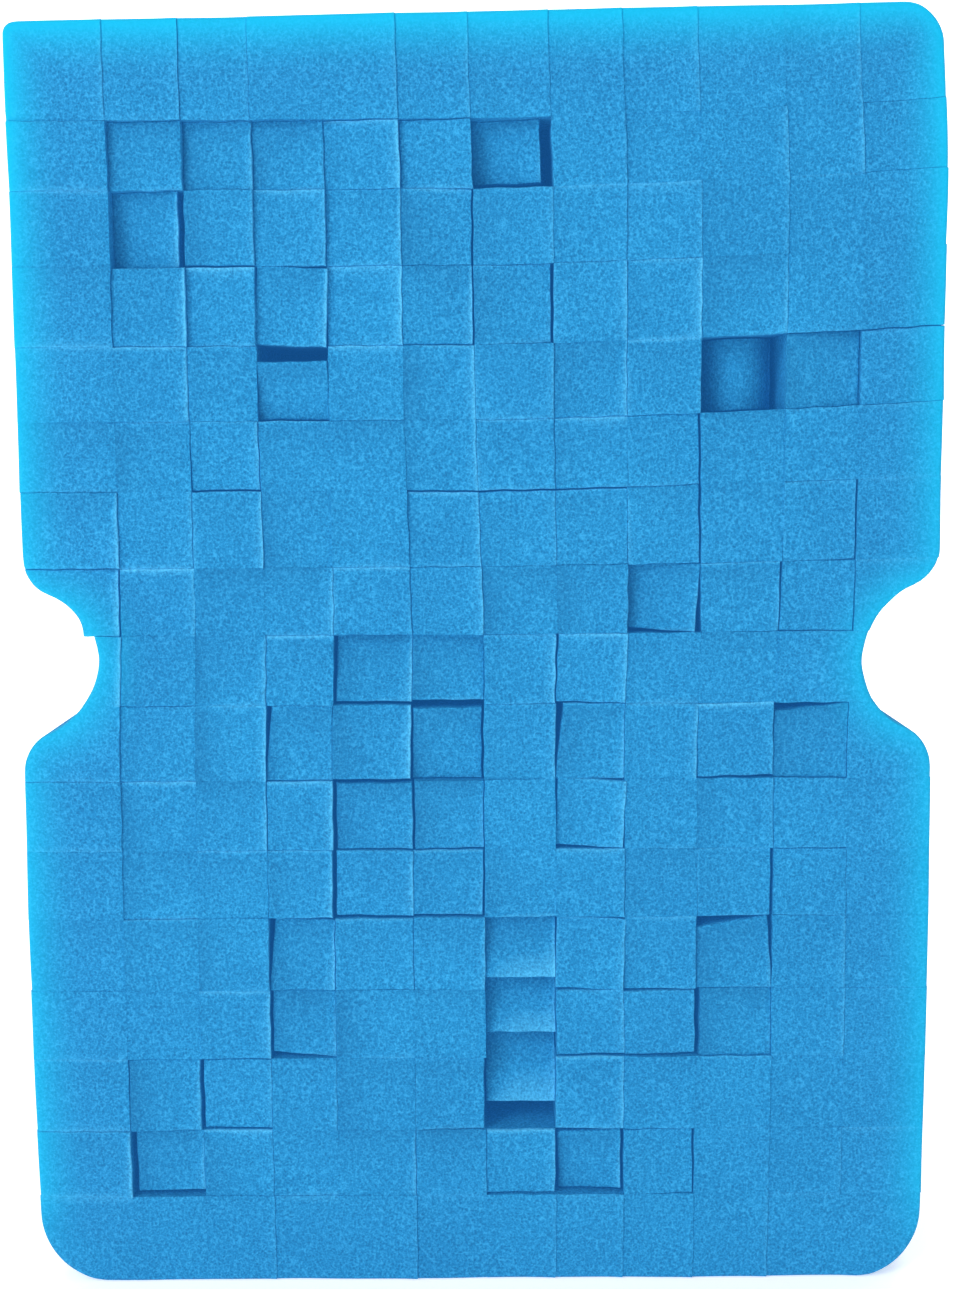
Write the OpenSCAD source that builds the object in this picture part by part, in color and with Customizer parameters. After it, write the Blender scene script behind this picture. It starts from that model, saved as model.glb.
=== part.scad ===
// Cross-cut foam wash sponge, standing on its short end.
// X runs across the face, Z up the long side, and Y from the fingered face to the uncut back.
// Two sets of knife slits, cut from the face, leave a grid of square foam fingers on a web.
// Each row of fingers stands on its own strip of web, and the strips hinge along the back face,
// which is how the one block of foam bends. Row 1 is the lowest, column 1 the leftmost.

/* [Block] */
// Width across the face
width = 159; // [130:1:200]
// Height along the long side
height = 224; // [185:1:280]
// Thickness from the fingered face to the back
thickness = 64; // [50:1:90]
// How much higher the right end of the top edge stands than the left
top_rise = 2.4; // [0:0.2:4]

/* [Knife cuts] */
// Uncut web behind the fingers
web = 16; // [10:1:20]
// Width of a knife slit
slit = 0.4; // [0.3:0.1:0.6]
// Foam left of the first upright slit
left_strip = 17; // [15:0.5:22]
// Foam right of the last upright slit
right_strip = 15; // [15:0.5:22]
// Foam below the lowest level slit
bottom_strip = 16; // [14:0.5:22]
// Foam above the highest level slit
top_strip = 17.5; // [14:0.5:22]

/* [Outline] */
// Radius of the two bottom corners
bottom_corner = 12.5; // [4:0.5:13]
// Radius of the top corner on the right
top_right_corner = 7; // [3:0.5:12]
// Radius of the top corner on the left
top_left_corner = 2; // [1:0.5:12]
// Height of the two finger grips above the bottom
grip_height = 113; // [60:1:130]
// Radius of each grip's round bottom
grip_radius = 13.5; // [12:0.5:18]
// Depth of each grip below the block's side
grip_depth = 13; // [8:0.5:14]
// Radius of the rounded lips of each grip
grip_lip = 7; // [3:0.5:10]

/* [Displaced fingers] */
// How much deeper a displaced finger can be pressed
press_travel = 8; // [2:0.5:10]
// Space between a displaced finger's root and the web
root_gap = 1; // [0.8:0.1:2]
// A finger that lies at least this far behind the face is a pressed one, and others lean
pressed_from = 1; // [0.9:0.1:1]

/* [Hidden] */
rows = 17;
columns = 12;
foam_blue = "#2f95d6";
web_blue = "#2b8ccb";
loose_blue = "#3a9bd8";
$fn = 96;

front = -thickness / 2;
back = thickness / 2;
root = back - web;
finger_length = root - front;

// The slits divide what the four strips leave into equal cells, to a hundredth of a millimetre
function hundredths(value) = round(value * 100) / 100;
cell_w = hundredths((width - left_strip - right_strip) / (columns - 2));
cell_h = hundredths((height - bottom_strip - top_strip) / (rows - 2));

// The displaced fingers, one a line: row, column, how far the tip lies behind the face, how far it
// leans to the right and up, how much narrower and lower it is than its cell, clockwise twist
LOOSE = [
    [16, 2, 1, 0, 0, 0, 0, 0],
    [16, 3, 1.6, 0, 0, 0, 0, 0],
    [16, 4, 1.2, 0, 0, 0, 0, 0],
    [16, 7, 3, -2, 1, 2.2, 1.2, 1],
    [15, 2, 3, -1.6, 0, 1.6, 0, 0],
    [13, 4, 0.8, 0, -2.4, 0, 2.4, 0],
    [13, 10, 4.5, -0.6, 0, 0.8, 0, 0],
    [13, 11, 1.2, 0, 0, 0, 0, 0],
    [10, 9, 1.5, -0.8, 0.4, 0.8, 0.4, 3],
    [9, 5, 1.5, 0.8, 0.8, 1, 1, 1],
    [9, 6, 1.5, 0, 0.8, 0.4, 1, 1],
    [8, 4, 0.6, 0.8, 0, 0.8, 0, 2],
    [8, 6, 1.5, -0.4, -0.8, 0.4, 0.8, 0],
    [8, 8, 0.6, 0.8, 0, 0.8, 0, 2],
    [8, 11, 0.6, 0, -0.8, 0, 0.8, -2],
    [7, 5, 0.8, 0.6, -0.5, 0.6, 0.5, 0],
    [7, 6, 0.8, 0.6, 0, 0.6, 0, 0],
    [5, 4, 1, 0.6, 0, 0.6, 0, 2],
    [5, 7, 1.5, 0, 1.9, 0, 1.7, 0],
    [5, 10, 0.6, -0.8, -0.8, 0.8, 0.8, -6],
    [4, 4, 0.8, 0.5, 1.4, 0.5, 1.4, 0],
    [4, 7, 3, 0, 4, 0, 2.4, 0],
    [4, 10, 0.6, 1.2, 0, 1.2, 0, 0],
    [3, 7, 4, 0, 3.9, 0, 0, 0],
    [2, 2, 0.8, 0.9, 0.9, 0.9, 0.9, -1],
    [2, 8, 1.2, -0.4, -0.6, 0.6, 0.8, -2],
];

function sink(f) = f[2];
function lean_x(f) = f[3];
function lean_z(f) = f[4];
function trim_x(f) = f[5];
function trim_z(f) = f[6];
function twist(f) = f[7];

// Where the cells meet: x_at(c) is the right side of column c, z_at(r) the top of row r
function x_at(c) = c <= 0 ? -width / 2
    : c >= columns ? width / 2
    : -width / 2 + left_strip + cell_w * (c - 1);
function z_at(r) = r <= 0 ? 0
    : r >= rows ? height
    : bottom_strip + cell_h * (r - 1);
function middle_x(c) = (x_at(c - 1) + x_at(c)) / 2;
function middle_z(r) = (z_at(r - 1) + z_at(r)) / 2;
function is_loose(r, c) = len([for (f = LOOSE) if (f[0] == r && f[1] == c) f]) > 0;

function two(n) = n < 10 ? str("0", n) : str(n);
function web_name(r) = str("back_web_", two(r));
function row_name(r) = str("finger_row_", two(r));
function loose_name(f) = str("finger_r", two(f[0]), "_c", two(f[1]));

// What a corner of radius r loses: the square beyond the arc, for a corner at the origin
// whose block lies towards -X and -Y
module corner_loss(r) {
    difference() {
        translate([-r, -r]) square(2 * r);
        translate([-r, -r]) circle(r);
    }
}

// A half-round grip with rounded lips, for a block whose side is the line x = 0
module grip_loss() {
    beyond = grip_radius - grip_depth;
    lip_rise = sqrt(pow(grip_radius + grip_lip, 2) - pow(grip_lip + beyond, 2));
    translate([beyond, 0]) circle(grip_radius);
    difference() {
        polygon([
            [beyond, 0],
            [-grip_lip, lip_rise],
            [grip_radius, lip_rise],
            [grip_radius, -lip_rise],
            [-grip_lip, -lip_rise],
        ]);
        for (side = [-1, 1]) translate([-grip_lip, side * lip_rise]) circle(grip_lip);
    }
}

// The block's outline, drawn with its height along Y
module outline() {
    // where the sloping top edge meets a corner's arc
    slope = top_rise / width;
    right_drop = slope * top_right_corner + top_right_corner * (sqrt(1 + slope * slope) - 1);
    difference() {
        polygon([
            [-width / 2, 0],
            [width / 2, 0],
            [width / 2, height],
            [-width / 2, height - top_rise],
        ]);
        translate([width / 2, height - right_drop]) corner_loss(top_right_corner);
        translate([-width / 2, height - top_rise]) mirror([1, 0]) corner_loss(top_left_corner);
        translate([width / 2, 0]) mirror([0, 1]) corner_loss(bottom_corner);
        translate([-width / 2, 0]) rotate(180) corner_loss(bottom_corner);
        translate([width / 2, grip_height]) grip_loss();
        translate([-width / 2, grip_height]) mirror([1, 0]) grip_loss();
    }
}

// The uncut block between two depths
module block(from, to) {
    translate([0, to, 0]) rotate([90, 0, 0]) linear_extrude(to - from) outline();
}

// The strip of web behind row r
module back_web(r) {
    color(web_blue) intersection() {
        translate([-width / 2, root, z_at(r - 1)])
            cube([width, web, z_at(r) - z_at(r - 1)]);
        block(root, back);
    }
}

// The space of one finger, half a slit inside its cell wherever a knife has passed
module finger_space(r, c) {
    x0 = x_at(c - 1) + (c > 1 ? slit / 2 : 0);
    x1 = x_at(c) - (c < columns ? slit / 2 : 0);
    z0 = z_at(r - 1) + (r > 1 ? slit / 2 : 0);
    z1 = z_at(r) - (r < rows ? slit / 2 : 0);
    translate([x0, front, z0]) cube([x1 - x0, finger_length, z1 - z0]);
}

module upright_finger(r, c) {
    if (r == 1 || r == rows || c == 1 || c == columns) {
        intersection() {
            finger_space(r, c);
            block(front, root);
        }
    } else {
        finger_space(r, c);
    }
}

// All the fingers of row r that stand flush with the face
module finger_row(r) {
    color(foam_blue) for (c = [1 : columns]) {
        if (!is_loose(r, c)) upright_finger(r, c);
    }
}

// A finger that has slipped behind the face or leans. Its centre line starts at the web, on the
// side of its cell that it leans away from, and it stops short of the web by its travel
module loose_finger(f) {
    swing = norm([lean_x(f), lean_z(f)]);
    reach = finger_length - sink(f);
    short = root_gap + (sink(f) >= pressed_from ? press_travel : 0);
    corner = cos(twist(f)) + sin(abs(twist(f)));
    w = (cell_w - slit - trim_x(f)) / corner;
    h = (cell_h - slit - trim_z(f)) / corner;
    color(loose_blue)
        translate([
            middle_x(f[1]) - sign(lean_x(f)) * trim_x(f) / 2,
            root,
            middle_z(f[0]) - sign(lean_z(f)) * trim_z(f) / 2
        ])
        rotate(a = atan(swing / reach), v = swing > 0 ? [-lean_z(f), 0, lean_x(f)] : [1, 0, 0])
        rotate([0, twist(f), 0])
        translate([-w / 2, -reach, -h / 2])
        cube([w, reach - short, h]);
}

for (r = [1 : rows]) {
    back_web(r);
    finger_row(r);
}
for (f = LOOSE) {
    loose_finger(f);
}
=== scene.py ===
"""A cross-cut foam wash sponge that stands on its short end.

The frame gives every size: the strips of web, the rows of fingers and the displaced fingers.
The foam is built over them as soft, uneven pieces. Each row of flush fingers is one piece, each
displaced finger is one, and the web is a chain of links from the middle of one row to the next.
"""

import math

import bpy
import numpy as np
from mathutils import Matrix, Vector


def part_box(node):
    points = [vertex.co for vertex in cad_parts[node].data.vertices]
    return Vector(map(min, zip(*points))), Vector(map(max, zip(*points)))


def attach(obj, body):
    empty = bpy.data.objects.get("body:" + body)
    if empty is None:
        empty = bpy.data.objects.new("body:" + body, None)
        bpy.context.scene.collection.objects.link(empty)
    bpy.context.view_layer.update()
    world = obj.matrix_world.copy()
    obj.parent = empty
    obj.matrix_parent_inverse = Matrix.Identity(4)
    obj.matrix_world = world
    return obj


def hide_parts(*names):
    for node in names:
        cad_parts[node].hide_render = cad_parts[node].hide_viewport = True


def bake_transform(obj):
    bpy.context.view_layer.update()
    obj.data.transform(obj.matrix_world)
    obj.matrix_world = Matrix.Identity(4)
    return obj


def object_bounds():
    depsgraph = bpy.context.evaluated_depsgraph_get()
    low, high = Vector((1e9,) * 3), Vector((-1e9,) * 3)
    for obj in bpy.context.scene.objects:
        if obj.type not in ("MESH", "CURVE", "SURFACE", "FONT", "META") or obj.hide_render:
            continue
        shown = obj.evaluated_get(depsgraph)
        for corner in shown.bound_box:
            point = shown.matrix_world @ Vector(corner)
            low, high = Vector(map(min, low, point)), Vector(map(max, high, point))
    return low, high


MM = 0.001
SAME = 0.02 * MM  # what lies closer than this is at one place
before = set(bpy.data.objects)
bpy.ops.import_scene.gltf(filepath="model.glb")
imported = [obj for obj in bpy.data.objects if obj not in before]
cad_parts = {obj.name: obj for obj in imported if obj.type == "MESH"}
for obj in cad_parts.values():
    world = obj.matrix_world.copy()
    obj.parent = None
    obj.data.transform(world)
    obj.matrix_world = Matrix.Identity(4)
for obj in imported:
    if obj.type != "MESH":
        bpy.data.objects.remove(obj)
cad_low, cad_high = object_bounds()
chance = np.random.default_rng(204)


# ---------------------------------------------------------------- camera

# A numeric fit to where the sponge's sides, ends and slits lie gave these
CAMERA_PLACE = (0.0, -0.332, 0.1517)
CAMERA_PITCH = math.radians(-6.74)
CAMERA_ROLL = math.radians(-0.36)
LENS = 48.5

camera = bpy.data.objects.new("camera", bpy.data.cameras.new("camera"))
bpy.context.scene.collection.objects.link(camera)
bpy.context.scene.camera = camera
camera.data.lens = LENS
camera.data.sensor_width = 36.0
camera.data.clip_start = 0.02
camera.matrix_world = (
    Matrix.Translation(CAMERA_PLACE)
    @ Matrix.Rotation(math.pi / 2 + CAMERA_PITCH, 4, "X")
    @ Matrix.Rotation(CAMERA_ROLL, 4, "Z")
)


# ---------------------------------------------------------------- what the frame says

ROWS = sum(name.startswith("back_web_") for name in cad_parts)
STRIPS = [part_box(f"back_web_{row:02d}") for row in range(1, ROWS + 1)]
FRONT = cad_low.y
BACK = cad_high.y
ROOT = STRIPS[0][0].y
DISPLACED = {
    (int(name[8:10]), int(name[12:14])): name
    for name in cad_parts
    if name.startswith("finger_r") and "_c" in name
}


def corner_points(name):
    """The separate points of a node's mesh, one for each corner."""
    points = np.array([v.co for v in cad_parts[name].data.vertices], float)
    return np.unique(points.round(6), axis=0)


def column_walls():
    """The middle of each upright slit, and the block's two sides, from the lowest row that has
    no displaced finger. It is clear of the corners and the grips."""
    plain = next(r for r in range(2, ROWS) if all(key[0] != r for key in DISPLACED))
    sides = np.unique(corner_points(f"finger_row_{plain:02d}")[:, 0].round(5))
    inner = (sides[1:-1:2] + sides[2:-1:2]) / 2
    return np.concatenate([sides[:1], inner, sides[-1:]])


WALLS = column_walls()
COLUMNS = len(WALLS) - 1
HALF_WIDTH = (WALLS[-1] - WALLS[0]) / 2


def side_points(side):
    """The block's outline on one side, as heights and distances from the middle, lowest first."""
    points = np.vstack([corner_points(f"back_web_{r:02d}") for r in range(1, ROWS + 1)])
    points = points[(abs(points[:, 1] - BACK) < SAME) & (points[:, 0] * side > 0)]
    heights = np.unique(points[:, 2].round(5))
    return np.array([
        [z, max(points[abs(points[:, 2] - z) < SAME][:, 0] * side)] for z in heights
    ])


LEFT, RIGHT = side_points(-1), side_points(1)
# The slope of the top edge, and its height above the block's middle
TOP_SLOPE = (RIGHT[-1, 0] - LEFT[-1, 0]) / (RIGHT[-1, 1] + LEFT[-1, 1])
TOP = (RIGHT[-1, 0] + LEFT[-1, 0]) / 2 - TOP_SLOPE * (RIGHT[-1, 1] - LEFT[-1, 1]) / 2
LEVELS = np.array([STRIPS[0][0].z] + [high.z for _, high in STRIPS[:-1]] + [TOP])
GRIP = LEVELS[ROWS // 2]  # the level slit just below the middle of the grips


def ease(value, start, end):
    """0 before start, 1 after end, and a smooth step between."""
    t = np.clip((value - start) / (end - start), 0.0, 1.0)
    return t * t * (3 - 2 * t)


# ---------------------------------------------------------------- how the foam lies

BULGE = 0.5 * MM  # how far each side stands out halfway up to the grips
SIDE_LIFT = 3.0 * MM  # how far the level slits climb to the right side, above the grips
LIFT_HEIGHT = 60 * MM  # how far above the grips they climb so far
LEAN = 0.8 * MM  # how far right the block leans above the grips
LEAN_START = 10 * MM  # how far below the grips the lean begins
LEAN_FULL = 20 * MM  # how far above them it is full
LEAN_END = 34 * MM  # how far below the top it begins to die out
WAIST = 0.7 * MM  # how far each side draws in at the top
WAIST_HEIGHT = 30 * MM  # how far below the top it begins to
WAVER = 0.06 * MM  # about how far the knife strays in soft foam
FREE_LENGTH = 12 * MM  # how far in front of the web a slit wanders freely
LOW_ROWS = 90 * MM  # the height up to which the upright slits lie at their low marks
HIGH_ROWS = 170 * MM  # the height from which they lie at their high ones
END_MARGIN = 10 * MM  # over which the level slits' waver dies out at the foot and the top

# How far to the right each upright slit lies off its mark, near the bottom and near the top, mm.
# This table and the next weren't chosen: they are what the camera's fit left over for each slit,
# rounded to a tenth
UPRIGHT_WANDER = [
    (0, -0.1), (0.4, -0.1), (0.1, -1), (-1, -1.5), (0.3, -1.4), (0.2, -1.9),
    (0, -1), (-0.6, -1.2), (-0.6, -1.2), (0.1, 0.7), (0.3, 0.7),
]
# How far above its mark each level slit lies, the lowest first, mm
LEVEL_WANDER = [0.1, -0.3, 0.4, 0.2, 0.7, 0.3, 0.1, 0.8, 0.4, -0.5, 0, -0.7, -0.7, 0, 0, -1.2]


def tilt_of_top(x, z):
    """How far the sloping top lifts the foam above a level one. It dies out at the highest
    level slit."""
    return TOP_SLOPE * x * ease(z, LEVELS[-2], TOP)


# The outlines are kept as they would be under a level top, as settle() adds the slope
for outline, side in ((LEFT, -1), (RIGHT, 1)):
    outline[:, 0] -= tilt_of_top(outline[:, 1] * side, outline[:, 0])


def wander_across(x, upper):
    """How far the upright slits have wandered to the right at x, where upper is 0 in the low
    rows and 1 in the high ones."""
    low, high = np.array(UPRIGHT_WANDER).T * MM
    low = np.interp(x, WALLS, np.concatenate([[0], low, [0]]))
    high = np.interp(x, WALLS, np.concatenate([[0], high, [0]]))
    return low + (high - low) * upper


def waver(along, beside):
    """How far a knife that cuts through soft foam strays from its line, in metres: in uneven
    waves nearly as long as a finger is wide, with shorter ones on them."""
    return WAVER * (
        np.sin(along / (1.7 * MM) + 2.3 * np.sin(along / (5.1 * MM) + beside / (4 * MM)))
        + 0.6 * np.sin(along / (0.9 * MM) + beside / (2.7 * MM))
    )


def settle(points, cut):
    """Moves points from the drawn block to the real one. The whole block bulges below its grips,
    leans to the right above them and narrows at the top, which slopes. Where cut is set the
    knife's lines wander too, all but at the root."""
    x, y, z = points.T
    across = x / HALF_WIDTH
    moved = points.copy()
    moved[:, 0] += BULGE * across * np.sin(np.pi * np.clip(z / GRIP, 0, 1))
    leaning = ease(z, GRIP - LEAN_START, GRIP + LEAN_FULL) * (1 - ease(z, TOP - LEAN_END, TOP))
    moved[:, 0] += LEAN * leaning
    moved[:, 0] -= WAIST * across * ease(z, TOP - WAIST_HEIGHT, TOP)
    moved[:, 2] += tilt_of_top(x, z)
    if cut:
        free = ease(ROOT - y, 0.0, FREE_LENGTH)
        levels = np.concatenate([[0], np.array(LEVEL_WANDER) * MM, [0]])
        lift = SIDE_LIFT * np.clip(across, 0, 1) ** 1.5 * ease(z, GRIP, GRIP + LIFT_HEIGHT)
        lift *= 1 - ease(z, LEVELS[-2], TOP)
        inside = 1 - np.abs(across) ** 8
        wandered = wander_across(x, ease(z, LOW_ROWS, HIGH_ROWS))
        moved[:, 0] += (wandered + waver(z, x) * inside) * free
        moved[:, 2] += (np.interp(z, LEVELS, levels) + lift) * free
        inner = ease(z, 0, END_MARGIN) * ease(TOP - z, 0, END_MARGIN)
        moved[:, 2] += waver(x, z) * free * inner
    return moved


def unevenness(x, z):
    """The face of cut foam is never flat: slow waves a few cells long, in metres."""
    return MM * (
        0.10 * np.sin(x / (7.3 * MM) + 1.3 * np.sin(z / (11 * MM)))
        + 0.08 * np.sin(z / (5.9 * MM) + 2.1 * np.sin(x / (9 * MM)) + 0.7)
        + 0.05 * np.sin((x + z) / (3.1 * MM))
    )


def rounding(distance, radius):
    """How far a rounded edge of this radius drops back, at a distance in from the edge."""
    reach = np.clip(1 - distance / max(radius, 1e-6), 0, 1)
    return radius * (1 - np.sqrt(1 - reach ** 2))


# ---------------------------------------------------------------- meshes

EDGE_LINES = np.array([0, 0.12, 0.3, 0.55, 0.9]) * MM  # mesh lines in from an edge
FACE_STEP = 1.6 * MM  # between mesh lines elsewhere
GRIP_STEP = 0.7 * MM  # the same, up the four rows beside the grips
GRIP_REACH = 26 * MM  # how near the slit at the grips the middle of such a row lies
CORNER_LINES = 22  # lines up an end row, which crowd towards its arcs
WALL_SHARES = (0.01, 0.04, 0.12, 0.3, 0.6, 1.0)  # rings down a finger, as shares of its length


def lines_across(length, step=FACE_STEP):
    """Shares of a length at which mesh lines lie, close together along both edges."""
    inner = np.linspace(EDGE_LINES[-1], length - EDGE_LINES[-1], max(3, round(length / step)))
    return np.concatenate([EDGE_LINES[:-1], inner, length - EDGE_LINES[-2::-1]]) / length


def prism(front, root, painted_light_and_shade):
    """A finger's mesh: its face as a grid of points, and walls from the rim of the face to the
    same rim at the root. Both are arrays of (lines up, lines across, 3). The third argument gives
    each point of the face its painted highlight, or below 0 its painted shade, and rides along for
    the material."""
    up, across = front.shape[:2]
    grid = np.arange(up * across).reshape(up, across)
    rim = np.concatenate([grid[0, :], grid[1:, -1], grid[-1, -2::-1], grid[-2:0:-1, 0]])
    faces = np.stack([grid[:-1, :-1], grid[:-1, 1:], grid[1:, 1:], grid[1:, :-1]], -1)
    faces = faces.reshape(-1, 4).tolist()
    points = [front.reshape(-1, 3)]
    face_rim, root_rim = front.reshape(-1, 3)[rim], root.reshape(-1, 3)[rim]
    last, count = rim, up * across
    for share in WALL_SHARES:
        points.append(face_rim + (root_rim - face_rim) * share)
        ring = count + np.arange(len(rim))
        quads = np.stack([last, ring, np.roll(ring, -1), np.roll(last, -1)], -1)
        faces += quads.tolist()
        last, count = ring, count + len(rim)
    faces.append(last.tolist())
    points = np.vstack(points)
    return points, faces, np.concatenate([painted_light_and_shade.ravel(), np.zeros(len(points) - painted_light_and_shade.size)])


def joined(parts):
    """Several meshes as one: their points, their faces and each point's painted highlight or
    painted shade.
    """
    points, faces, painted_light_and_shade, count = [], [], [], 0
    for part_points, part_faces, part_light_and_shade in parts:
        points.append(part_points)
        faces += [[i + count for i in face] for face in part_faces]
        painted_light_and_shade.append(part_light_and_shade)
        count += len(part_points)
    return np.vstack(points), faces, np.concatenate(painted_light_and_shade)


def distance_to_side(x, z):
    """Distance from points of the face to the block's sides and top, in metres."""
    rim_line = np.vstack([
        np.column_stack([-LEFT[:, 1], LEFT[:, 0]]),
        np.column_stack([RIGHT[::-1, 1], RIGHT[::-1, 0]]),
    ])
    found = np.full(len(x), 1.0)
    for (ax, az), (bx, bz) in zip(rim_line[:-1], rim_line[1:]):
        length = max(math.hypot(bx - ax, bz - az), 1e-9)
        ux, uz = (bx - ax) / length, (bz - az) / length
        along = np.clip((x - ax) * ux + (z - az) * uz, 0, length)
        found = np.minimum(found, np.hypot(x - ax - along * ux, z - az - along * uz))
    return found


RIM_DEPTH = 10.0 * MM  # how far in from a side the painted glow reaches, for light that comes through the face
SIDE_GLOW = 0.22  # what is left of it on the sides themselves
GLOW_BEHIND = 3 * MM  # over which it fades from the face to there
LOW_GLOW = 0.65  # its strength from the grips down, against 1 at the top
FOOT_HEIGHT = 20 * MM  # below which it dies out
SHARP_ANGLE = math.radians(38)


def foam_piece(name, points, faces, painted_light_and_shade, material, cut=True):
    """A piece of foam from points of the drawn block. How strong the painted cyan glow near a side
    is at each, and its painted highlight or painted shade, are kept for the material."""
    mesh = bpy.data.meshes.new(name)
    mesh.from_pydata(settle(points, cut), [], faces)
    # The strength of the painted cyan glow near a side
    inward = distance_to_side(points[:, 0], points[:, 2]) / RIM_DEPTH
    near = np.clip(1 - inward, 0, 1) ** 2
    behind = np.clip(points[:, 1] - FRONT, 0, 1)
    near *= SIDE_GLOW + (1 - SIDE_GLOW) * np.exp(-behind / GLOW_BEHIND)
    near *= LOW_GLOW + (1 - LOW_GLOW) * ease(points[:, 2], GRIP, TOP)
    near *= ease(points[:, 2], 0, FOOT_HEIGHT)
    for attribute, values in (("rim", near), ("painted_light_and_shade", painted_light_and_shade)):
        layer = mesh.attributes.new(attribute, "FLOAT", "POINT")
        layer.data.foreach_set("value", values.astype(np.float32))
    mesh.materials.append(material)
    mesh.shade_smooth()
    mesh.set_sharp_from_angle(angle=SHARP_ANGLE)
    piece = bpy.data.objects.new(name, mesh)
    bpy.context.scene.collection.objects.link(piece)
    return piece


# ---------------------------------------------------------------- materials

def linear(code):
    """An sRGB hex colour as linear values."""
    parts = [int(code[i:i + 2], 16) / 255 for i in (1, 3, 5)]
    return [c / 12.92 if c <= 0.04045 else ((c + 0.055) / 1.055) ** 2.4 for c in parts] + [1.0]


def add(tree, kind, inputs=(), stops=(), **settings):
    """Adds a node with its settings, its inputs' values or links, and any colour stops."""
    node = tree.nodes.new(kind)
    while len(stops) > 2 and len(node.color_ramp.elements) < len(stops):
        node.color_ramp.elements.new(0.5)
    for i, (position, code) in enumerate(stops):
        node.color_ramp.elements[i].position = position
        node.color_ramp.elements[i].color = linear(code)
    for key, value in settings.items():
        setattr(node, key, value)
    for key, value in dict(inputs).items():
        if isinstance(value, bpy.types.NodeSocket):
            tree.links.new(value, node.inputs[key])
        else:
            node.inputs[key].default_value = value
    return node


def material_tree(name):
    """A new material and its empty node tree."""
    material = bpy.data.materials.new(name)
    material.use_nodes = True
    material.node_tree.nodes.clear()
    return material, material.node_tree


GRAIN = 0.34 * MM  # between the walls of the foam's cells
PORE = 0.6 * MM  # between its open pores
RELIEF = 0.3 * MM  # how far the cell walls stand out
MOTTLE = 26 * MM  # between its paler and darker patches


def cut_polyurethane_foam(name):
    """Soft open-cell polyurethane foam, dyed through and sawn: matt, with a speckle of pores and
    of cell walls that catch the light, drawn as coarse as they need to be to show. Lips carry a
    painted highlight, sheltered parts a painted shade, and the foam is painted cyan where light
    would come through near a side. The emission is a painted glow for the light that foam scatters
    inside itself."""
    material, tree = material_tree(name)
    place = add(tree, "ShaderNodeTexCoord").outputs["Object"]
    grain = add(tree, "ShaderNodeTexNoise",
                {"Vector": place, "Scale": 1 / GRAIN, "Detail": 1.0, "Roughness": 0.6})
    pores = add(tree, "ShaderNodeTexVoronoi", {"Vector": place, "Scale": 1 / PORE})
    mottle = add(tree, "ShaderNodeTexNoise",
                 {"Vector": place, "Scale": 1 / MOTTLE, "Detail": 2.0, "Roughness": 0.5})
    cells = add(tree, "ShaderNodeMix",
                {"Factor": 0.3, "A": grain.outputs["Fac"], "B": pores.outputs["Distance"]})
    speckle = add(tree, "ShaderNodeValToRGB", {"Fac": cells.outputs["Result"]},
                  stops=[(0.3, "#155e88"), (0.5, "#1d76a4"), (0.7, "#3292c0")])
    cloud = add(tree, "ShaderNodeValToRGB", {"Fac": mottle.outputs["Fac"]},
                stops=[(0.3, "#f0f0f4"), (0.7, "#ffffff")])
    clouded = add(tree, "ShaderNodeMix",
                  {"Factor": 1.0, "A": speckle.outputs["Color"], "B": cloud.outputs["Color"]},
                  data_type="RGBA", blend_type="MULTIPLY")
    # Painted highlight on the knife's lips, from the attribute's part above 0, broken up by the
    # cells
    painted_light_and_shade = add(tree, "ShaderNodeAttribute", attribute_name="painted_light_and_shade")
    doubled = add(tree, "ShaderNodeMath", {0: painted_light_and_shade.outputs["Fac"], 1: 2.0}, operation="MULTIPLY")
    speckled_highlight = add(tree, "ShaderNodeMath",
                 {0: doubled.outputs["Value"], 1: cells.outputs["Result"]}, operation="MULTIPLY")
    highlighted = add(tree, "ShaderNodeMix",
                 {"Factor": speckled_highlight.outputs["Value"], "A": clouded.outputs["Result"],
                  "B": linear("#55b2da")}, data_type="RGBA")
    # Painted shade on the parts that neighbours' lips shelter from the light
    less = add(tree, "ShaderNodeMath", {0: painted_light_and_shade.outputs["Fac"], 1: -1.0}, operation="MULTIPLY")
    shaded = add(tree, "ShaderNodeMix",
                    {"Factor": less.outputs["Value"], "A": highlighted.outputs["Result"],
                     "B": linear("#0b3f66")}, data_type="RGBA")
    # Painted cyan glow near the sides, for light that comes through the foam
    rim = add(tree, "ShaderNodeAttribute", attribute_name="rim")
    glow = add(tree, "ShaderNodeMix",
               {"Factor": rim.outputs["Fac"], "A": shaded.outputs["Result"],
                "B": linear("#00a6c8")}, data_type="RGBA")
    relief = add(tree, "ShaderNodeMath", {0: 1.0, 1: rim.outputs["Fac"]}, operation="SUBTRACT")
    bump = add(tree, "ShaderNodeBump",
               {"Height": cells.outputs["Result"], "Strength": relief.outputs["Value"],
                "Distance": RELIEF})
    shader = add(tree, "ShaderNodeBsdfPrincipled",
                 {"Base Color": glow.outputs["Result"], "Roughness": 0.95,
                  "Normal": bump.outputs["Normal"], "Specular IOR Level": 0.1,
                  "Emission Color": linear("#1c6098"), "Emission Strength": 0.5})
    add(tree, "ShaderNodeOutputMaterial", {"Surface": shader.outputs["BSDF"]})
    return material


FACE_FOAM = cut_polyurethane_foam("cut_polyurethane_foam")
BACK_FOAM = cut_polyurethane_foam("sawn_polyurethane_foam")


# ---------------------------------------------------------------- fingers

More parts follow.
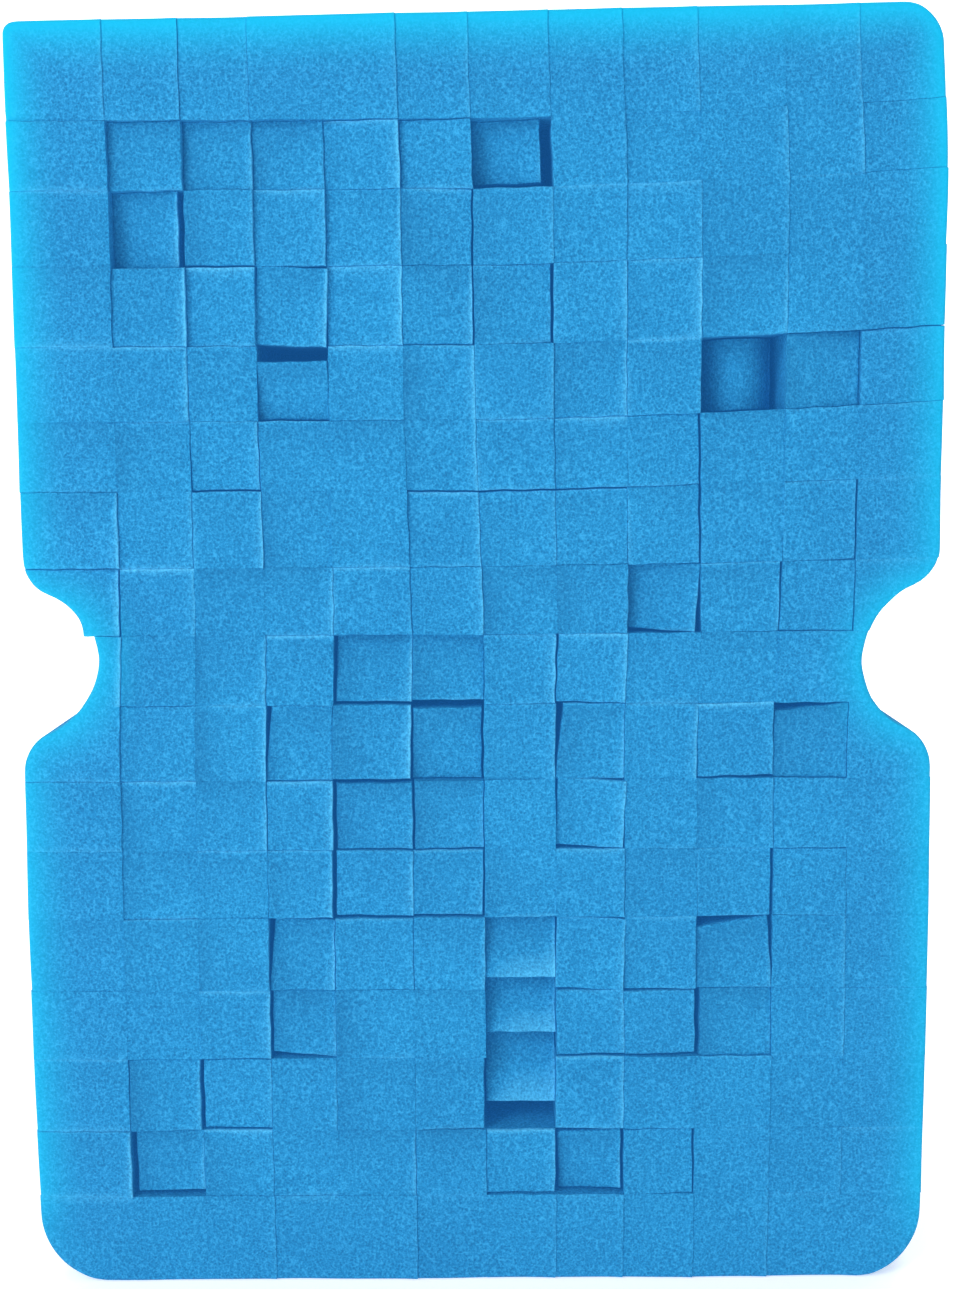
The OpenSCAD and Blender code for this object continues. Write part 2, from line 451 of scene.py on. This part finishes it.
LIPS = np.array([0.0, 0.08, 0.16, 0.32]) * MM  # how round a finger's edge can be
LIP_CHANCE = (0.45, 0.20, 0.20, 0.15)
LEVEL_SHARE = 0.45  # of the fingers, whose faces aren't sunk at all
SINK_RANGE = 0.6 * MM  # times the share by which chance passes that
LEAN_RANGE = 0.36 * MM  # of the fall from one side or end of a face to the other, either way
STEP_RANGE = 0.3 * MM  # of how far a side finger's lower end stands out or in
MOST_HIGHLIGHT = np.array([0.3, 1.0, 0.35, 0.9])  # painted highlight at most, at the left, right, lower and upper edge
MOST_SHADE = np.array([0.5, 0.35])  # painted shade at most, at the left and at the top
NUDGED_LIP = 0.2 * MM  # the least on a finger that lies a little off
LOOSE_LIP = 0.3 * MM  # on a displaced finger
OUTER_LIP = 0.9 * MM  # along the block's own outline
LOOSE_SHADE = 0.45  # how dark the painted shade on the sheltered parts of a displaced finger is
LOW_PAINTED_LIGHT = 0.35  # how much painted light brightens the lower part of a finger that is pushed up

# What chance gives each finger, by row and column: its lips, how far its face is sunk and leans,
# the step of a side finger, how strong the painted highlight on its four edges is, and how dark
# the painted shade on its left and upper parts is
upright_lips = chance.choice(LIPS, (ROWS + 1, COLUMNS + 1), p=LIP_CHANCE)
level_lips = chance.choice(LIPS, (ROWS + 1, COLUMNS + 1), p=LIP_CHANCE)
sinks = np.clip(chance.random((ROWS + 1, COLUMNS + 1)) - LEVEL_SHARE, 0, 1) * SINK_RANGE
leans = (chance.random((ROWS + 1, COLUMNS + 1, 2)) - 0.5) * LEAN_RANGE
steps = (chance.random((ROWS + 1, COLUMNS + 1)) - 0.5) * STEP_RANGE
highlights = chance.random((ROWS + 1, COLUMNS + 1, 4)) * MOST_HIGHLIGHT
shades = chance.random((ROWS + 1, COLUMNS + 1, 2)) ** 1.5 * MOST_SHADE
# The lower end of one side finger stands out, above the grip on the left
steps[10, 1] = 1.8 * MM

# Where the knife left a clean cut the slits close up and hardly show: at the foot and the top,
# along the right side, and low and high on the right
clean = np.zeros((ROWS + 1, COLUMNS + 1))
clean[1, :] = 0.8
clean[2:5, 9:] = 0.7
clean[:, 11:] = 0.7
clean[15:, 7:] = 0.5
clean[ROWS, :] = 0.7
upright_lips *= 1 - clean
level_lips *= 1 - clean
shades *= 1 - clean[..., None]
highlights *= 1 - clean[..., None]
sinks *= 1 - clean
leans *= 1 - clean[..., None]

# Flush fingers that lie a little off: how deep the face is, how far it tips back to the right
# and upwards, and the gaps left of, right of, below and above it, in mm, and its clockwise twist
# in degrees
NUDGED = {
    (17, 3): (0.3, 0.4, 0.0, 0.0, 0.0, 0.0, 0.0, 0.0),
    (16, 5): (0.5, -1.1, 0.4, 0.0, 0.0, 0.0, 0.1, 0.0),
    (16, 6): (0.5, -1.1, 0.4, 0.1, 0.0, 0.0, 0.1, 0.0),
    (16, 12): (0.1, 0.0, 0.0, 0.0, 0.0, 0.0, 0.0, 0.0),
    (15, 3): (0.4, -0.4, -0.5, 0.0, 0.0, 0.2, 0.0, 0.3),
    (15, 4): (0.4, -0.9, 0.0, 0.0, 0.0, 0.0, 0.0, 0.0),
    (15, 5): (0.4, -0.9, 0.2, 0.0, 0.0, 0.0, 0.0, 0.0),
    (15, 6): (0.3, 0.6, 0.0, 0.0, 0.3, 0.0, 0.0, 0.3),
    (14, 2): (0.3, -0.6, 0.4, 0.0, 0.0, 0.0, 0.1, 0.0),
    (14, 3): (0.5, -1.0, 0.4, 0.0, 0.0, 0.0, 0.1, 0.0),
    (14, 4): (0.4, -0.9, 0.3, 0.0, 0.0, 0.0, 0.1, 2.5),
    (14, 5): (0.4, -0.9, 0.3, 0.0, 0.0, 0.0, 0.0, 0.0),
    (14, 6): (0.3, 0.5, 0.0, 0.0, 0.25, 0.1, 0.0, 0.0),
    (14, 7): (0.4, 0.8, 0.0, 0.0, 0.45, 0.0, 0.0, -0.5),
    (13, 12): (0.3, -0.3, 0.4, 0.1, 0.0, 0.0, 0.1, 0.0),
    (12, 3): (0.4, 0.0, -0.6, 0.1, 0.1, 0.25, 0.0, 0.0),
    (12, 9): (0.4, 0.7, 0.0, 0.0, 0.35, 0.0, 0.0, -0.5),
    (11, 6): (0.3, 0.0, 0.5, 0.0, 0.0, 0.0, 0.25, 0.0),
    (11, 7): (0.3, 0.1, 0.5, 0.0, 0.0, 0.0, 0.25, 0.0),
    (11, 8): (0.3, 0.2, 0.4, 0.0, 0.0, 0.0, 0.2, 0.0),
    (11, 9): (0.4, 0.7, 0.0, 0.0, 0.35, 0.0, 0.0, -0.6),
    (11, 11): (0.3, 0.5, -0.3, 0.0, 0.25, 0.0, 0.0, -0.5),
    (10, 1): (0.5, 0.6, 0.3, 0.0, 0.35, 0.0, 0.1, 0.0),
    (10, 10): (0.3, 0.4, 0.0, 0.0, 0.25, 0.0, 0.0, -0.5),
    (10, 11): (0.3, 0.3, 0.0, 0.0, 0.1, 0.1, 0.0, 0.6),
    (9, 7): (0.3, 0.5, 0.2, 0.0, 0.2, 0.0, 0.0, -0.4),
    (9, 8): (0.3, -0.3, -0.3, 0.1, 0.0, 0.2, 0.0, 1.0),
    (8, 5): (0.3, 0.3, 0.2, 0.0, 0.2, 0.2, 0.0, 0.4),
    (8, 10): (0.3, 0.3, -0.4, 0.0, 0.1, 0.35, 0.0, -1.2),
    (7, 4): (0.2, 0.3, 0.0, 0.1, 0.0, 0.0, 0.1, 0.0),
    (7, 8): (0.4, -0.6, -0.4, 0.15, 0.0, 0.35, 0.0, 3.0),
    (6, 4): (0.2, 0.4, 0.0, 0.1, 0.3, 0.0, 0.0, 0.0),
    (6, 5): (0.8, -0.5, -0.4, 0.4, 0.0, 0.3, 0.2, 0.3),
    (6, 6): (0.8, 0.4, -0.4, 0.0, 0.3, 0.35, 0.2, 0.5),
    (6, 10): (0.4, 0.7, 0.0, 0.0, 0.4, 0.0, 0.0, 0.0),
    (6, 11): (0.3, -0.3, 0.5, 0.1, 0.0, 0.0, 0.2, 0.0),
    (5, 5): (0.3, 0.2, 0.5, 0.1, 0.0, 0.0, 0.2, 0.0),
    (5, 8): (0.4, -0.5, 0.5, 0.1, 0.0, 0.0, 0.2, 1.8),
    (4, 8): (0.4, 0.0, -0.3, 0.1, 0.0, 0.35, 0.2, -1.0),
    (4, 9): (0.4, 0.4, -0.3, 0.0, 0.2, 0.4, 0.4, -1.2),
    (3, 2): (0.4, 0.7, 0.3, 0.1, 0.4, 0.0, 0.1, 0.0),
    (3, 3): (0.5, -0.3, -0.4, 0.3, 0.0, 0.3, 0.1, 0.0),
    (3, 6): (0.3, 0.5, 0.0, 0.0, 0.3, 0.0, 0.0, 0.0),
    (2, 7): (0.3, 0.3, -0.3, 0.0, 0.1, 0.3, 0.2, 0.5),
    (2, 9): (0.3, 0.5, 0.4, 0.0, 0.3, 0.0, 0.2, -0.8),
}
UNMOVED = (0.0,) * 8
HIGHLIGHT_REACH = 0.45 * MM  # over which the painted highlight on a lip dies out, in from an edge
SHADE_REACH = 3.2 * MM  # over which the painted shade beside a neighbour's lip does
LIP_RISE = 0.3 * MM  # how far a lip on the right edge of a finger curls forwards
RISE_REACH = 4 * HIGHLIGHT_REACH  # over which the curl dies out, in from that edge


def lip_highlight_and_shade(across, up, width, height, lips, strengths, shade_strengths):
    """How much painted highlight each point of a face gets: most along its right and upper edges,
    where the knife left a lip. Below 0 it is painted shade on its left and upper parts, which
    their neighbours' lips shelter from the light."""
    sides = (across * width, (1 - across) * width, up * height, (1 - up) * height)
    painted_light_and_shade = np.zeros_like(across)
    for distance, lip, strength in zip(sides, lips, strengths):
        painted_light_and_shade = np.maximum(painted_light_and_shade, (lip > 0) * strength * np.exp(-distance / HIGHLIGHT_REACH))
    dim = np.maximum(shade_strengths[0] * np.exp(-sides[0] / SHADE_REACH),
                     shade_strengths[1] * np.exp(-sides[3] / SHADE_REACH))
    return painted_light_and_shade - dim


def face_profile(across, up, width, height, lips, sink, tilt):
    """How far back each point of a finger's face lies: rounded to its four edges, sunk, and
    tilted by so much from side to side and from top to bottom."""
    left, right, below, above = lips
    back = rounding(across * width, left) + rounding((1 - across) * width, right)
    back = back + rounding(up * height, below) + rounding((1 - up) * height, above)
    back = back - LIP_RISE * (right > 0) * np.exp(-(1 - across) * width / RISE_REACH)
    return back + sink + tilt[0] * (across - 0.5) + tilt[1] * (up - 0.5)


def row_lines(row):
    """Shares of a row's height at which its mesh lines lie. They crowd towards the corners'
    arcs in the end rows, and lie close in the rows beside the grips."""
    bottom, top = LEVELS[row - 1], LEVELS[row]
    if row == 1:
        return np.linspace(0, 1, CORNER_LINES) ** 2
    if row == ROWS:
        return 1 - np.linspace(1, 0, CORNER_LINES) ** 2
    beside_grip = abs((bottom + top) / 2 - GRIP) < GRIP_REACH
    return lines_across(top - bottom, GRIP_STEP if beside_grip else FACE_STEP)


def flush_finger(row, column):
    """A finger level with the face: between its slits, or out to the block's own outline."""
    sink, tip_right, tip_up, *gaps, twist = NUDGED.get((row, column), UNMOVED)
    up = row_lines(row)
    across = lines_across(WALLS[column] - WALLS[column - 1])
    v, u = np.meshgrid(up, across, indexing="ij")
    bottom, top = LEVELS[row - 1], LEVELS[row]
    z = bottom + v * (top - bottom)
    left = np.full_like(z, WALLS[column - 1])
    right = np.full_like(z, WALLS[column])
    lips = [
        upright_lips[row, column - 1],
        upright_lips[row, column],
        level_lips[row - 1, column],
        level_lips[row, column],
    ]
    if (row, column) in NUDGED:
        lips = [max(lip, NUDGED_LIP) for lip in lips]
    if column == 1:
        left = -np.interp(z, LEFT[:, 0], LEFT[:, 1])
        lips[0] = OUTER_LIP
    if column == COLUMNS:
        right = np.interp(z, RIGHT[:, 0], RIGHT[:, 1])
        lips[1] = OUTER_LIP
    if row == 1:
        lips[2] = OUTER_LIP
    if row == ROWS:
        lips[3] = OUTER_LIP
    x = left + u * (right - left)
    root = np.stack([x, np.full_like(x, ROOT), z], -1)
    tips = leans[row, column] if sink == 0 else np.array([tip_right, tip_up]) * MM
    back = face_profile(u, v, right - left, top - bottom, lips,
                        sinks[row, column] if sink == 0 else sink * MM, tips)
    # Painted highlights on its lips and painted shade on its sheltered parts
    painted_light_and_shade = lip_highlight_and_shade(u, v, right - left, top - bottom, lips, highlights[row, column],
                        shades[row, column] * (column > 1, row < ROWS))
    gap_left, gap_right, gap_below, gap_above = np.array(gaps) * MM
    x = x + gap_left * (1 - u) - gap_right * u
    z = z + gap_below * (1 - v) - gap_above * v
    turn = math.radians(twist)
    middle_x, middle_z = x.mean(), z.mean()
    x, z = (x + (z - middle_z) * turn, z - (x - middle_x) * turn)
    face = np.stack([x, FRONT + back + unevenness(x, z), z], -1)
    if column == 1:
        face[..., 0] -= steps[row, column] * (1 - u) * (1 - v) ** 2
    if column == COLUMNS:
        face[..., 0] += steps[row, column] * u * (1 - v) ** 2
    return prism(face, root, painted_light_and_shade)


# How far each displaced finger's face tips back from left to right and from bottom to top, mm
FACE_TILTS = {
    (16, 2): (-0.8, 0.5), (16, 3): (-1.0, 0.8), (16, 4): (-1.0, 0.6), (16, 7): (-1.6, -0.8),
    (15, 2): (-1.6, -0.6), (13, 4): (-0.4, -1.6), (13, 11): (1.6, 0.4), (10, 9): (-1.6, 0.4),
    (9, 5): (0.0, 1.2), (9, 6): (0.4, 1.2), (8, 6): (0.8, -0.8), (7, 5): (-0.4, -0.6),
    (7, 6): (0.6, -0.8), (5, 4): (0.0, 1.2), (5, 7): (0.0, 2.0), (4, 7): (0.0, 2.4),
    (3, 7): (0.0, 3.0), (2, 8): (-1.4, -1.0), (5, 10): (0.0, 0.6),
}
# The sides of a displaced finger that stand clear of its neighbours, or the one end that does
OPEN_SIDES = {
    (16, 7): "right below",
    (15, 2): "right",
    (13, 4): "above below",
    (13, 10): "left right above below",
    (10, 9): "right-low below-left",
    (9, 5): "left below",
    (9, 6): "below",
    (8, 4): "left-high",
    (8, 6): "left right above",
    (8, 8): "left-high",
    (8, 11): "above-left",
    (7, 5): "left above",
    (7, 6): "left right above",
    (5, 4): "left-high above",
    (5, 7): "above below",
    (5, 10): "above-left right-high",
    (4, 4): "left below-left",
    (4, 7): "above below",
    (4, 10): "left",
    (3, 7): "above below",
    (2, 2): "left below",
    (2, 8): "left right above-left below",
}
TIP_CORNERS = {
    "left-low": (0, 0, 0), "left-high": (1, 0, 0), "right-low": (0, 1, 0), "right-high": (1, 1, 0),
    "below-left": (0, 0, 2), "below-right": (0, 1, 2), "above-left": (1, 0, 2),
    "above-right": (1, 1, 2),
}
# How much of the way to its neighbours beside and above or below it a displaced finger's open
# sides have closed up again
CLOSED_UP = {
    (16, 7): (0.2, 0.2), (15, 2): (0.35, 0.0), (10, 9): (0.3, 0.3), (9, 5): (0.55, 0.5),
    (9, 6): (0.0, 0.3), (8, 4): (0.3, 0.0), (8, 6): (0.4, 0.4), (7, 5): (0.3, 0.3),
    (7, 6): (0.5, 0.5), (5, 10): (0.6, 0.0), (4, 4): (0.3, 0.3), (4, 10): (0.55, 0.0),
    (2, 2): (0.2, 0.2), (2, 8): (0.3, 0.0),
}
# Fingers of one column whose tips are pushed up, so that the light falls on their lower parts,
# which are painted paler too
PUSHED_UP = ((5, 7), (4, 7), (3, 7))
SQUEEZED = (13, 10)  # the finger whose face is a half-round ridge
CROWN = 8.5 * MM  # how high the ridge is
CROWN_MIDDLE = 0.48  # the share of its width at which it is highest


def crown(across):
    """How far the squeezed finger's face falls back on both sides of its highest line."""
    aside = 2.0 * (across - CROWN_MIDDLE)
    return CROWN * (1 - np.sqrt(np.clip(1 - aside ** 2, 0.02, 1)))


def displaced_finger(row, column, name):
    """A finger that has slipped behind the face or leans, over its own CAD prism. Where the
    foam beside it has closed up, its tip reaches the neighbour."""
    corners = corner_points(name)
    order = corners[np.argsort(corners[:, 1])]

    def square(four):
        """Four corners as [low or high][left or right]."""
        middle = four.mean(0)
        return np.array([
            [four[np.argmax((four - middle) @ (sx, 0, sz))] for sx in (-1, 1)] for sz in (-1, 1)
        ])

    tip, foot = square(order[:4]), square(order[4:])
    walls = {"left": WALLS[column - 1], "right": WALLS[column],
             "below": LEVELS[row - 1], "above": LEVELS[row]}
    clear = OPEN_SIDES.get((row, column), "").split()
    for corner, place in TIP_CORNERS.items():
        side = corner.split("-")[0]
        share = 1.0
        if side in clear or corner in clear:
            share = CLOSED_UP.get((row, column), (0.0, 0.0))[side in ("below", "above")]
        tip[place] += (walls[side] - tip[place]) * share
    width = np.linalg.norm(tip[0, 1] - tip[0, 0])
    height = np.linalg.norm(tip[1, 0] - tip[0, 0])
    v, u = np.meshgrid(lines_across(height), lines_across(width), indexing="ij")

    def spread(four):
        """Points over a square, at the shares u across and v up."""
        u3, v3 = u[..., None], v[..., None]
        low = four[0, 0] * (1 - u3) + four[0, 1] * u3
        high = four[1, 0] * (1 - u3) + four[1, 1] * u3
        return low * (1 - v3) + high * v3

    face, root = spread(tip), spread(foot)
    lips = [LOOSE_LIP] * 4
    tilt = np.array(FACE_TILTS.get((row, column), (0.0, 0.0))) * MM
    back = face_profile(u, v, width, height, lips, 0.0, tilt)
    face[..., 1] += back + unevenness(face[..., 0], face[..., 2])
    if (row, column) == SQUEEZED:
        face[..., 1] += crown(u)
    # Painted highlights on its lips and painted shade on its sheltered parts
    painted_light_and_shade = lip_highlight_and_shade(u, v, width, height, lips, highlights[row, column],
                        (LOOSE_SHADE, LOOSE_SHADE))
    # Painted light on the lower part of a finger that is pushed up
    if (row, column) in PUSHED_UP:
        painted_light_and_shade = painted_light_and_shade + LOW_PAINTED_LIGHT * ease(1 - v, 0.4, 1.0)
    return prism(face, root, painted_light_and_shade)


def make_fingers():
    """The rows of flush fingers and the displaced ones, each on its own body."""
    for row in range(1, ROWS + 1):
        flush = [
            flush_finger(row, column)
            for column in range(1, COLUMNS + 1)
            if (row, column) not in DISPLACED
        ]
        piece = foam_piece(f"foam_row_{row:02d}", *joined(flush), FACE_FOAM)
        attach(piece, f"row_{row:02d}")
        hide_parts(f"finger_row_{row:02d}")
    for (row, column), name in sorted(DISPLACED.items()):
        piece = foam_piece(name.replace("finger_", "foam_"), *displaced_finger(row, column, name),
                           FACE_FOAM)
        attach(piece, name)
        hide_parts(name)


# ---------------------------------------------------------------- web

BACK_LIP = 0.9 * MM  # the radius of the edges round the back
WEB_STEP = 3.0 * MM  # between mesh lines across the web
DEPTH_LINES = 6  # lines along its sides, from front to back
END_SECTIONS = 14  # up each end piece, which crowd towards its arcs
LINK_SECTIONS = 15  # up each bending link


def web_ring(z):
    """The web's section at a height, a closed loop of points: its inner face, right side,
    rounded back edges and back."""
    left = -np.interp(z, LEFT[:, 0], LEFT[:, 1])
    right = np.interp(z, RIGHT[:, 0], RIGHT[:, 1])
    count = round(2 * HALF_WIDTH / WEB_STEP)
    inner = [(x, ROOT) for x in np.linspace(left, right, count)]
    depth = [(right, y) for y in np.linspace(ROOT, BACK - BACK_LIP, DEPTH_LINES)[1:]]
    turns = np.radians([22.5, 45, 67.5, 90])
    near_right = [(right - BACK_LIP * (1 - math.cos(a)), BACK - BACK_LIP * (1 - math.sin(a)))
                  for a in turns]
    behind = [(x, BACK) for x in np.linspace(right - BACK_LIP, left + BACK_LIP, count)[1:-1]]
    near_left = [(left + right - x, y) for x, y in near_right[::-1]]
    other = [(left, y) for _, y in depth[::-1]]
    loop = inner + depth + near_right + behind + near_left + other
    return np.array([(x, y, z) for x, y in loop])


def web_piece(name, heights):
    """A stretch of web through sections at these heights, closed at both ends."""
    rings = [web_ring(z) for z in heights]
    size = len(rings[0])
    faces = []
    for i in range(len(rings) - 1):
        a = i * size + np.arange(size)
        b = a + size
        faces += np.stack([a, np.roll(a, -1), np.roll(b, -1), b], -1).tolist()
    faces.append(list(range(size))[::-1])
    faces.append([(len(rings) - 1) * size + i for i in range(size)])
    points = np.vstack(rings)
    return foam_piece(name, points, faces, np.zeros(len(points)), BACK_FOAM, cut=False)


def make_web():
    """The uncut web: a piece at each end, and a link between the middles of each two rows."""
    middles = (LEVELS[:-1] + LEVELS[1:]) / 2
    lowest = LEVELS[0] + (middles[0] - LEVELS[0]) * np.linspace(0, 1, END_SECTIONS) ** 2
    highest = TOP - (TOP - middles[-1]) * np.linspace(1, 0, END_SECTIONS) ** 2
    ends = [("foam_web_bottom", lowest, "row_01", "back_web_01"),
            ("foam_web_top", highest, f"row_{ROWS:02d}", f"back_web_{ROWS:02d}")]
    for name, heights, body, node in ends:
        piece = web_piece(name, heights)
        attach(piece, body)
        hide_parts(node)
    for row in range(1, ROWS):
        low, high = middles[row - 1], middles[row]
        piece = web_piece(f"foam_web_{row:02d}", np.linspace(low, high, LINK_SECTIONS))
        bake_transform(piece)
        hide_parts(f"back_web_{row:02d}")


# ---------------------------------------------------------------- stage and light

SURROUND = 0.48  # the strength of the light from all around


def opal_board(name):
    """Opal acrylic board lit from behind: an even white with hardly a shadow."""
    material, tree = material_tree(name)
    shader = add(tree, "ShaderNodeBsdfPrincipled",
                 {"Base Color": linear("#f4f4f4"), "Roughness": 0.95, "Specular IOR Level": 0.1,
                  "Emission Color": linear("#ffffff"), "Emission Strength": 0.4})
    add(tree, "ShaderNodeOutputMaterial", {"Surface": shader.outputs["BSDF"]})
    return material


def make_stage():
    """A floor that curves up into a wall behind the sponge. Sizes are in metres."""
    reach, bend, high, wide, ahead = 0.9, 0.35, 1.8, 2.4, 2.4
    turns = np.linspace(0, math.pi / 2, 16)
    profile = [(-ahead, 0.0)]
    profile += [(reach + bend * math.sin(a), bend * (1 - math.cos(a))) for a in turns]
    profile.append((reach + bend, high))
    points = [(x, y, z) for y, z in profile for x in (-wide, wide)]
    faces = [(2 * i, 2 * i + 1, 2 * i + 3, 2 * i + 2) for i in range(len(profile) - 1)]
    mesh = bpy.data.meshes.new("stage")
    mesh.from_pydata(points, [], faces)
    mesh.materials.append(opal_board("opal_acrylic_board"))
    mesh.shade_smooth()
    stage = bpy.data.objects.new("stage", mesh)
    bpy.context.scene.collection.objects.link(stage)


def soft_box(name, place, aim, size, power):
    """A square soft light that points from its place to its aim."""
    light = bpy.data.lights.new(name, "AREA")
    light.shape = "SQUARE"
    light.size = size
    light.energy = power
    lamp = bpy.data.objects.new(name, light)
    bpy.context.scene.collection.objects.link(lamp)
    lamp.location = place
    away = np.array(place) - np.array(aim)
    flat = math.hypot(away[0], away[1])
    lamp.rotation_euler = (math.atan2(flat, away[2]), 0, math.atan2(away[0], -away[1]))


def make_light():
    """An even white surround, a key light from above left, a low fill and one for the wall."""
    world = bpy.data.worlds.new("studio")
    world.use_nodes = True
    world.node_tree.nodes["Background"].inputs["Color"].default_value = linear("#ffffff")
    world.node_tree.nodes["Background"].inputs["Strength"].default_value = SURROUND
    bpy.context.scene.world = world
    soft_box("key", place=(-1.3, -1.6, 1.2), aim=(0, 0, 0.08), size=0.8, power=27)
    soft_box("low_fill", place=(-0.2, -0.55, 0.04), aim=(0, 0, 0.05), size=0.25, power=1.3)
    soft_box("behind", place=(0.0, 0.6, 1.3), aim=(0, 0.9, 0.0), size=1.2, power=14)
    bpy.context.scene.view_settings.view_transform = "Standard"


make_fingers()
make_web()
make_stage()
make_light()
